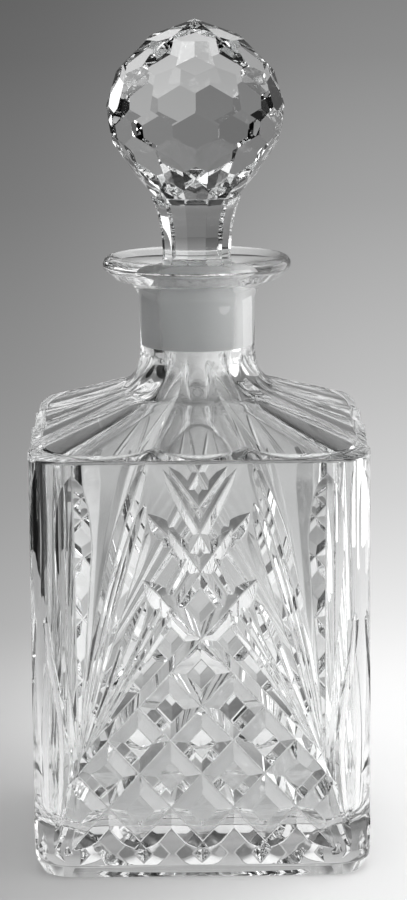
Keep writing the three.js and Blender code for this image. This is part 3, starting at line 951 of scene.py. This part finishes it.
def curved_screen(bm, start, sweep, low, high, steps):
    """An upright screen round the axis. It starts some degrees past the flag's end."""
    foot = Matrix.Rotation(radians(-start), 3, "Z") @ Vector((*FLAG_END, low))
    point = bmesh.ops.create_vert(bm, co=foot)["vert"]
    bmesh.ops.spin(bm, geom=point, cent=(0, 0, 0), axis=(0, 0, -1), angle=radians(sweep), steps=steps)
    wire = [edge for edge in bm.edges if edge.is_wire]
    upright = bmesh.ops.extrude_edge_only(bm, edges=wire)["geom"]
    bmesh.ops.translate(bm, verts=only(BMVert, upright), vec=(0, 0, high - low))


def dark_flag():
    """A black screen round the left side, with a narrow raised strip behind it, out of the picture.

    It gives the glass its dark edges.
    """
    bm = bmesh.new()
    curved_screen(bm, 0, FLAG_SWEEP, 0, FLAG_HEIGHT, steps=16)
    curved_screen(bm, FLAG_SWEEP, STRIP_SWEEP, STRIP_LOW, STRIP_HIGH, steps=6)
    felt, _, _ = new_material("black_felt", Base_Color=FELT_BLACK, Roughness=1)
    flag = mesh_object("dark_flag", bm, [felt])
    show_in_glass_only(flag)


def set_lamps(scene):
    """Lamps that the glass shows don't light the floor. The softbox does, and the glass doesn't show it."""
    for name, (place, width, height, watts, shown) in LAMPS.items():
        data = bpy.data.lights.new(name, "AREA")
        data.shape = "RECTANGLE"
        data.size = width
        data.size_y = height
        data.energy = watts
        lamp = bpy.data.objects.new(name, data)
        scene.collection.objects.link(lamp)
        lamp.location = place
        lamp.rotation_euler = (Vector(place) - LAMP_AIM).to_track_quat("Z", "Y").to_euler()
        lamp.visible_diffuse = not shown
        lamp.visible_glossy = shown
        lamp.visible_transmission = shown


def set_camera(scene, look):
    """The view from the front and a little above."""
    data = bpy.data.cameras.new("camera")
    camera = bpy.data.objects.new("camera", data)
    scene.collection.objects.link(camera)
    yaw = Matrix.Rotation(-look.camera_yaw, 4, "Z")
    back = yaw @ Vector((0, -cos(look.camera_elevation), sin(look.camera_elevation)))
    camera.location = yaw @ Vector(look.camera_target) + back * look.camera_distance
    turn = back.to_track_quat("Z", "Y").to_matrix().to_4x4()
    camera.rotation_euler = (turn @ Matrix.Rotation(look.camera_roll, 4, "Z")).to_euler()
    data.sensor_fit = "VERTICAL"
    data.sensor_height = SENSOR_HEIGHT
    data.lens = SENSOR_HEIGHT * look.focal_pixels / PICTURE_HEIGHT
    data.clip_start = 0.01
    data.clip_end = 100
    scene.camera = camera


class DECANTER_OT_stage(bpy.types.Operator):
    """Builds the pale floor, the light and the camera."""
    bl_idname = "decanter.stage"
    bl_label = "Stage"

    def execute(self, context):
        scene = context.scene
        look = scene.decanter_stage
        bm = bmesh.new()
        under = Matrix.Translation((0, 0, -FLOOR_DROP))
        bmesh.ops.create_circle(bm, cap_ends=True, segments=128, radius=FLOOR_RADIUS, matrix=under)
        floor = mesh_object("floor", bm, [floor_material(look)])
        dark_flag()
        white_card()
        set_world(scene)
        set_lamps(scene)
        set_camera(scene, look)
        return {"FINISHED"}


class DECANTER_PT_panel(bpy.types.Panel):
    """Lists the decanter's sizes and its building steps."""
    bl_idname = "DECANTER_PT_panel"
    bl_label = "Cut-glass decanter"
    bl_space_type = "VIEW_3D"
    bl_region_type = "UI"
    bl_category = "Decanter"

    def draw(self, context):
        for operator in OPERATORS:
            self.layout.operator(operator.bl_idname)
        for name in GROUPS:
            group = getattr(context.scene, name)
            for key in group.bl_rna.properties.keys():
                if key not in ("rna_type", "name"):
                    self.layout.prop(group, key)


OPERATORS = (DECANTER_OT_bottle, DECANTER_OT_stopper, DECANTER_OT_stage)
GROUPS = {
    "decanter_bottle": DecanterBottleSizes,
    "decanter_stopper": DecanterStopperSizes,
    "decanter_cuts": DecanterCutSizes,
    "decanter_glass": DecanterGlassLook,
    "decanter_stage": DecanterStageLook,
}


def register():
    for item in (*GROUPS.values(), *OPERATORS, DECANTER_PT_panel):
        bpy.utils.register_class(item)
    for name, group in GROUPS.items():
        setattr(bpy.types.Scene, name, PointerProperty(type=group))


def unregister():
    for name in GROUPS:
        delattr(bpy.types.Scene, name)
    for item in (DECANTER_PT_panel, *reversed(OPERATORS), *reversed(GROUPS.values())):
        bpy.utils.unregister_class(item)


def main():
    register()
    bpy.ops.decanter.bottle()
    bpy.ops.decanter.stopper()
    bpy.ops.decanter.stage()
    scene = bpy.context.scene
    scene.view_settings.view_transform = "Standard"
    scene.cycles.max_bounces = GLASS_BOUNCES
    scene.cycles.transmission_bounces = GLASS_BOUNCES
    scene.cycles.glossy_bounces = GLOSSY_BOUNCES


if __name__ == "__main__":
    main()
